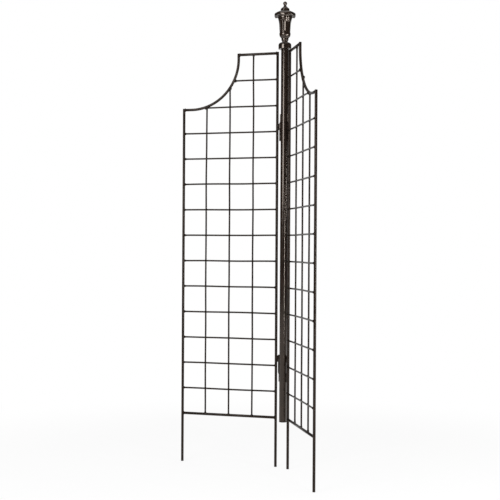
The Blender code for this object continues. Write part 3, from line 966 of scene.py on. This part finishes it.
cap_top = CAP_Z + CAP_LIP + CAP_SHOULDER
cap_outline = [
    (CAP_BORE, CAP_Z),
    (CAP_RADIUS, CAP_Z),
    *arc_points(
        (CAP_CROWN_RADIUS, CAP_Z + CAP_LIP),
        (CAP_RADIUS - CAP_CROWN_RADIUS, CAP_SHOULDER),
        0,
        90,
        12,
    ),
    (STUD_HOLE_RADIUS, cap_top),
    (STUD_HOLE_RADIUS, cap_top - CAP_WEB),
    (CAP_BORE, cap_top - CAP_WEB),
]
cap = turned(cap_outline, CASTING_STEPS)
ease_corners(cap, CAP_EDGE, sharper_than=40)
settle(cap, "post_cap_coated", "post", cast_coat)
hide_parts("post_cap")

# Urn: the finial's lower casting. A ringed neck and a round bulge carry a tapering bell
# with twelve shallow flutes, which ends in a flared shoulder under the crown.
URN_Z = 1963.3 * MM
FLUTES = 12
FLUTE_DEPTH = 1.6 * MM
FLUTE_TURN = math.radians(22.5)
FLUTE_FOOT = 48.5
FLUTE_HEAD = 102.0
FLUTE_END = 4.5
# radius and height above the urn's foot, in millimetres
URN_OUTLINE = [
    (14.0, 0.0),
    (14.0, 1.2),
    (13.3, 3.0),
    (13.2, 5.4),
    (13.7, 7.4),
    (16.0, 9.0),
    (16.4, 11.0),
    (16.6, 13.8),
    (16.4, 16.6),
    (16.5, 18.4),
    (18.1, 20.8),
    (21.0, 24.0),
    (23.3, 27.2),
    (24.8, 30.6),
    (25.9, 34.6),
    (26.3, 38.5),
    (26.0, 42.2),
    (25.1, 45.4),
    (24.7, 47.0),
    (24.9, 48.5),
    (25.1, 49.6),
    (25.2, 51.0),
    (25.3, 53.5),
    (25.5, 58.0),
    (26.0, 66.0),
    (26.4, 75.0),
    (27.0, 83.5),
    (27.9, 91.0),
    (29.1, 96.5),
    (29.6, 99.0),
    (30.0, 100.8),
    (30.3, 102.0),
    (31.0, 104.0),
    (31.2, 106.4),
    (32.4, 109.2),
    (33.2, 111.8),
    (33.4, 114.2),
    (33.2, 117.0),
]


def flute_share(height):
    """How deep the flutes are at a height, with both their ends rounded."""
    if not FLUTE_FOOT < height < FLUTE_HEAD:
        return 0.0
    from_end = min(height - FLUTE_FOOT, FLUTE_HEAD - height)
    return min(1.0, (from_end / FLUTE_END) ** 0.5)


def shape_columns(piece, start, per_lobe, outline, base_z, change):
    """Moves the points of a turned casting, ring by ring and column by column within each
    lobe. change(share_of_lobe, ring) gives how far they go out and up, or None."""
    work_on(piece)
    bpy.ops.object.mode_set(mode="EDIT")
    bpy.ops.mesh.select_mode(type="VERT")
    mesh = bmesh.from_edit_mesh(piece.data)
    step = 2 * math.pi / CASTING_STEPS
    found = {}
    for corner in mesh.verts:
        flat = corner.co.xy - POST_AXIS.xy
        if flat.length < STUD_HOLE_RADIUS + 0.5 * MM:
            continue
        ring = min(
            range(len(outline)),
            key=lambda index: math.dist(
                (outline[index][0] * MM, outline[index][1] * MM),
                (flat.length, corner.co.z - base_z),
            ),
        )
        column = round((math.atan2(flat.y, flat.x) - start) / step) % per_lobe
        found.setdefault((min(column, per_lobe - column), ring), []).append(corner.index)
    for (column, ring), corners in sorted(found.items()):
        moved = change(column / per_lobe, ring)
        if moved is None:
            continue
        outward, upward = moved
        bpy.ops.mesh.select_all(action="DESELECT")
        mesh = bmesh.from_edit_mesh(piece.data)
        mesh.verts.ensure_lookup_table()
        for index in corners:
            mesh.verts[index].select_set(True)
        bmesh.update_edit_mesh(piece.data)
        radius = outline[ring][0] * MM
        scale = (radius + outward) / radius
        bpy.ops.transform.resize(
            value=(scale, scale, 1), center_override=(POST_AXIS.x, POST_AXIS.y, 0)
        )
        if upward:
            bpy.ops.transform.translate(value=(0, 0, upward))
    bpy.ops.object.mode_set(mode="OBJECT")


def flute(share_of_lobe, ring):
    share = flute_share(URN_OUTLINE[ring][1])
    if share == 0.0:
        return None
    return -share * FLUTE_DEPTH * math.sin(math.pi * share_of_lobe), 0.0


def cored(outline, base_z):
    """An outline in millimetres, set on its seat and closed along the stud's hole."""
    points = [(radius * MM, base_z + height * MM) for radius, height in outline]
    return [(STUD_HOLE_RADIUS, points[0][1]), *points, (STUD_HOLE_RADIUS, points[-1][1])]


urn = turned(cored(URN_OUTLINE, URN_Z), CASTING_STEPS)
shape_columns(urn, FLUTE_TURN, CASTING_STEPS // FLUTES, URN_OUTLINE, URN_Z, flute)
settle(urn, "finial_urn_coated", "post", cast_coat, smooth_below=50)
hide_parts("finial_urn")

# Crown: the finial's wide casting. Its rim droops to six pointed tips and arches up between
# them, the top rises in vaults to a lid with an upright lip, and the ball sits on that.
CROWN_Z = 2080.6 * MM
LOBES = 6
LOBE_LIFT = 5.0 * MM
LOBE_INSET = 2.0 * MM
LOBE_TURN = math.radians(315)
# radius and height above the crown's seat, in millimetres, and the share of the scalloping
CROWN_OUTLINE = [
    (31.0, 0.0, 0.0),
    (32.6, 4.2, 0.0),
    (34.6, 6.9, 0.05),
    (38.2, 8.2, 0.25),
    (42.0, 7.6, 0.5),
    (45.6, 5.0, 0.78),
    (48.6, 1.4, 0.98),
    (49.9, 0.3, 1.0),
    (51.1, 0.6, 1.0),
    (51.4, 1.9, 0.98),
    (51.4, 4.2, 0.92),
    (51.3, 6.6, 0.84),
    (50.9, 9.2, 0.78),
    (49.6, 12.0, 0.68),
    (46.9, 15.4, 0.56),
    (43.2, 18.4, 0.42),
    (38.4, 21.4, 0.28),
    (33.0, 24.2, 0.14),
    (27.6, 26.3, 0.02),
    (23.2, 27.2, 0.0),
    (21.3, 27.9, 0.0),
    (20.7, 29.4, 0.0),
    (20.6, 33.2, 0.0),
    (20.6, 36.2, 0.0),
    (19.9, 38.0, 0.0),
    (18.2, 39.9, 0.0),
    (15.0, 42.6, 0.0),
    (12.6, 44.6, 0.0),
    (11.4, 45.6, 0.0),
    (10.6, 46.0, 0.0),
]


def scallop(share_of_lobe, ring):
    arch = CROWN_OUTLINE[ring][2] * math.sin(math.pi * share_of_lobe)
    if arch == 0.0:
        return None
    return -arch * LOBE_INSET, arch * LOBE_LIFT


crown_rings = [(radius, height) for radius, height, share in CROWN_OUTLINE]
crown = turned(cored(crown_rings, CROWN_Z), CASTING_STEPS, LOBE_TURN)
shape_columns(crown, LOBE_TURN, CASTING_STEPS // LOBES, crown_rings, CROWN_Z, scallop)
settle(crown, "finial_crown_coated", "post", cast_coat, smooth_below=50)
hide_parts("finial_crown")

# Ball: the finial's top casting, a ball on a waisted foot. It screws down on the stud and
# clamps the castings under it.
BALL_Z = 2126.9 * MM
BALL_RADIUS = 9.4 * MM
BALL_NECK_RADIUS = 6.6 * MM
BALL_NECK_HEIGHT = 10.0 * MM
BALL_SOCKET = 14.0 * MM
BALL_STEPS = 64

neck_angle = -math.degrees(math.acos(BALL_NECK_RADIUS / BALL_RADIUS))
ball_centre = BALL_Z + BALL_NECK_HEIGHT - BALL_RADIUS * math.sin(math.radians(neck_angle))
ball_outline = [
    (0, BALL_Z + BALL_SOCKET),
    (STUD_HOLE_RADIUS, BALL_Z + BALL_SOCKET),
    (STUD_HOLE_RADIUS, BALL_Z),
    (9.5 * MM, BALL_Z),
    (9.4 * MM, BALL_Z + 0.8 * MM),
    (8.3 * MM, BALL_Z + 2.0 * MM),
    (7.1 * MM, BALL_Z + 3.6 * MM),
    (6.5 * MM, BALL_Z + 5.6 * MM),
    (6.3 * MM, BALL_Z + 7.8 * MM),
    (6.4 * MM, BALL_Z + 9.3 * MM),
    *arc_points((0, ball_centre), (BALL_RADIUS, BALL_RADIUS), neck_angle, 90, 20),
]
ball_outline[-1] = (0, ball_centre + BALL_RADIUS)
ball = turned(ball_outline, BALL_STEPS, closed=False)
settle(ball, "finial_ball_coated", "post", cast_coat, smooth_below=50)
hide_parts("finial_ball")

# Stud and nut: bright zinc-plated fixings that run up the middle of the finial and are
# tightened inside the tube, so neither can be seen on the finished trellis.
zinc_plate, nodes, link, shader = add_finish("bright zinc plate")
shader.inputs["Metallic"].default_value = 1.0
place = nodes.new("ShaderNodeTexCoord").outputs["Object"]
clouded = add_node(nodes, "ShaderNodeTexNoise", {"Scale": 260.0, "Detail": 4.0})
link(place, clouded.inputs["Vector"])
plate = nodes.new("ShaderNodeValToRGB")
plate.color_ramp.elements[0].color = (0.40, 0.41, 0.42, 1)
plate.color_ramp.elements[1].color = (0.62, 0.62, 0.60, 1)
link(clouded.outputs["Fac"], plate.inputs["Fac"])
link(plate.outputs["Color"], shader.inputs["Base Color"])
dulled = add_node(nodes, "ShaderNodeMapRange", {"To Min": 0.26, "To Max": 0.48})
link(clouded.outputs["Fac"], dulled.inputs["Value"])
link(dulled.outputs["Result"], shader.inputs["Roughness"])
thread = add_node(nodes, "ShaderNodeTexWave", {"Scale": 250.0}, bands_direction="Z")
link(place, thread.inputs["Vector"])
relief = add_node(nodes, "ShaderNodeBump", {"Strength": 0.6, "Distance": 0.4 * MM})
link(thread.outputs["Fac"], relief.inputs["Height"])
link(relief.outputs["Normal"], shader.inputs["Normal"])
for name in ("finial_stud", "finial_nut"):
    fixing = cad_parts[name]
    fixing.data.materials.clear()
    fixing.data.materials.append(zinc_plate)

# Studio: a pale floor that runs on into a white sweep behind the trellis. The floor keeps
# the trellis's soft shadow near its feet and fades to the sweep's white further out.
FLOOR_SIZE = 9.0
FLOOR_MIDDLE = 3.0
FLOOR_GAP = 0.2 * MM
SHADOW_REACH = (0.9, 2.4)
WHITE_NEAR = 0.86

bpy.ops.object.select_all(action="DESELECT")
bpy.ops.mesh.primitive_circle_add(
    vertices=64, radius=FLOOR_SIZE / 2, fill_type="NGON", location=(0, 0, -FLOOR_GAP)
)
floor = bpy.context.object
floor.name = "studio_floor"
bpy.ops.object.mode_set(mode="EDIT")
bpy.ops.mesh.inset(thickness=FLOOR_SIZE / 2 - FLOOR_MIDDLE)
bpy.ops.object.mode_set(mode="OBJECT")
bpy.ops.object.transform_apply()
floor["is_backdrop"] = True

floor_paint, nodes, link, shader = add_finish("pale floor")
shader.inputs["Specular IOR Level"].default_value = 0.1
shader.inputs["Roughness"].default_value = 0.8
place = nodes.new("ShaderNodeTexCoord").outputs["Object"]
tone = add_node(nodes, "ShaderNodeTexNoise", {"Scale": 3.0})
link(place, tone.inputs["Vector"])
paint = nodes.new("ShaderNodeValToRGB")
paint.color_ramp.elements[0].color = (0.87, 0.87, 0.87, 1)
paint.color_ramp.elements[1].color = (0.90, 0.90, 0.90, 1)
link(tone.outputs["Fac"], paint.inputs["Fac"])
link(paint.outputs["Color"], shader.inputs["Base Color"])
from_middle = add_node(nodes, "ShaderNodeVectorMath", operation="LENGTH")
link(place, from_middle.inputs[0])
far_out = add_node(nodes, "ShaderNodeMapRange", interpolation_type="SMOOTHSTEP")
far_out.inputs["From Min"].default_value = SHADOW_REACH[0]
far_out.inputs["From Max"].default_value = SHADOW_REACH[1]
far_out.inputs["To Min"].default_value = WHITE_NEAR
link(from_middle.outputs["Value"], far_out.inputs["Value"])
ray = nodes.new("ShaderNodeLightPath").outputs
seen = combine(nodes, link, "MAXIMUM", ray["Is Camera Ray"], ray["Is Glossy Ray"])
seen = combine(nodes, link, "MAXIMUM", seen, ray["Is Transmission Ray"])
whiter = combine(nodes, link, "MULTIPLY", seen, far_out.outputs["Result"])
white = nodes.new("ShaderNodeEmission")
fade = nodes.new("ShaderNodeMixShader")
link(whiter, fade.inputs["Fac"])
link(shader.outputs["BSDF"], fade.inputs[1])
link(white.outputs["Emission"], fade.inputs[2])
link(fade.outputs["Shader"], nodes["Material Output"].inputs["Surface"])
floor.data.materials.append(floor_paint)

# Studio light: an even white room, with the sweep behind the trellis bright and the room
# round the camera dim in reflections, and long softboxes that draw a streak down the post.
CAMERA_HEADING = math.radians(137.014)
ROOM_LIGHT = 0.42
ROOM_IN_GLOSS = 0.04
SWEEP_EDGE = (0.74, 0.90)
LAMPS = (
    # name, heading from the post in degrees, distance, low end, high end, width, radiance
    ("left_softbox", 280.0, 3.0, 1.45, 3.20, 1.50, 9.5),
    ("front_softbox", 340.5, 3.0, 0.05, 1.40, 0.08, 85.0),
    ("right_softbox", 8.0, 3.0, 0.20, 1.35, 0.26, 40.0),
    ("side_softbox", 25.0, 3.0, 1.35, 1.80, 0.24, 26.0),
)
OVERHEAD_HEIGHT = 4.6
OVERHEAD_SIZE = 3.4
OVERHEAD_RADIANCE = 1.0

world = bpy.data.worlds.new("white studio")
bpy.context.scene.world = world
world.use_nodes = True
world.cycles.sampling_method = "NONE"
nodes, link = world.node_tree.nodes, world.node_tree.links.new
background = nodes["Background"]
background.inputs["Color"].default_value = (1, 1, 1, 1)
toward_sweep = add_node(nodes, "ShaderNodeVectorMath", operation="DOT_PRODUCT")
behind = (math.cos(CAMERA_HEADING), math.sin(CAMERA_HEADING), 0)
toward_sweep.inputs[1].default_value = behind
link(nodes.new("ShaderNodeTexCoord").outputs["Generated"], toward_sweep.inputs[0])
sweep = add_node(nodes, "ShaderNodeMapRange", interpolation_type="SMOOTHSTEP")
sweep.inputs["From Min"].default_value = SWEEP_EDGE[0]
sweep.inputs["From Max"].default_value = SWEEP_EDGE[1]
sweep.inputs["To Min"].default_value = ROOM_IN_GLOSS
link(toward_sweep.outputs["Value"], sweep.inputs["Value"])
ray = nodes.new("ShaderNodeLightPath").outputs
in_gloss = add_node(nodes, "ShaderNodeMix", {"A": ROOM_LIGHT})
link(ray["Is Glossy Ray"], in_gloss.inputs["Factor"])
link(sweep.outputs["Result"], in_gloss.inputs["B"])
seen = combine(nodes, link, "MAXIMUM", ray["Is Camera Ray"], ray["Is Transmission Ray"])
strength = add_node(nodes, "ShaderNodeMix", {"B": 1.0})
link(seen, strength.inputs["Factor"])
link(in_gloss.outputs["Result"], strength.inputs["A"])
link(strength.outputs["Result"], background.inputs["Strength"])


def softbox(name, place, target, width, height, radiance):
    """A rectangular lamp aimed at a point, with the same radiance all over its face."""
    lamp = bpy.data.lights.new(name, "AREA")
    lamp.shape = "RECTANGLE"
    lamp.size = width
    lamp.size_y = height
    lamp.energy = radiance * math.pi * width * height
    box = bpy.data.objects.new(name, lamp)
    bpy.context.collection.objects.link(box)
    box.location = place
    box.rotation_euler = (target - place).to_track_quat("-Z", "Y").to_euler()
    box.visible_camera = False


for name, heading, distance, low, high, width, radiance in LAMPS:
    out = Vector((math.cos(math.radians(heading)), math.sin(math.radians(heading)), 0))
    target = Vector((POST_AXIS.x, POST_AXIS.y, (low + high) / 2))
    softbox(name, target + distance * out, target, width, high - low, radiance)
over, under = Vector((0, 0, OVERHEAD_HEIGHT)), Vector((0, 0.001, 0))
softbox("overhead", over, under, OVERHEAD_SIZE, OVERHEAD_SIZE, OVERHEAD_RADIANCE)

# Camera: nearly level, at waist height, to the right of the V's opening. Its heading is
# given with the studio light, which needs it too.
CAMERA_PLACE = Vector((3.39406, -3.27500, 1.01166))
CAMERA_RISE = -0.00143
CAMERA_ROLL = 0.00558
CAMERA_LENS = 74.595

across, along = math.sin(CAMERA_HEADING), math.cos(CAMERA_HEADING)
forward = Vector((along, across, CAMERA_RISE)).normalized()
right = Vector((across, -along, 0))
up = right.cross(forward)
rolled_right = right * math.cos(CAMERA_ROLL) + up * math.sin(CAMERA_ROLL)
rolled_up = up * math.cos(CAMERA_ROLL) - right * math.sin(CAMERA_ROLL)
lens = bpy.data.cameras.new("camera")
lens.sensor_width = 36.0
lens.lens = CAMERA_LENS
camera = bpy.data.objects.new("camera", lens)
bpy.context.collection.objects.link(camera)
turn = Matrix((rolled_right, rolled_up, -forward)).transposed()
camera.matrix_world = Matrix.Translation(CAMERA_PLACE) @ turn.to_4x4()
bpy.context.scene.camera = camera
bpy.context.scene.view_settings.view_transform = "Standard"

low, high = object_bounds()
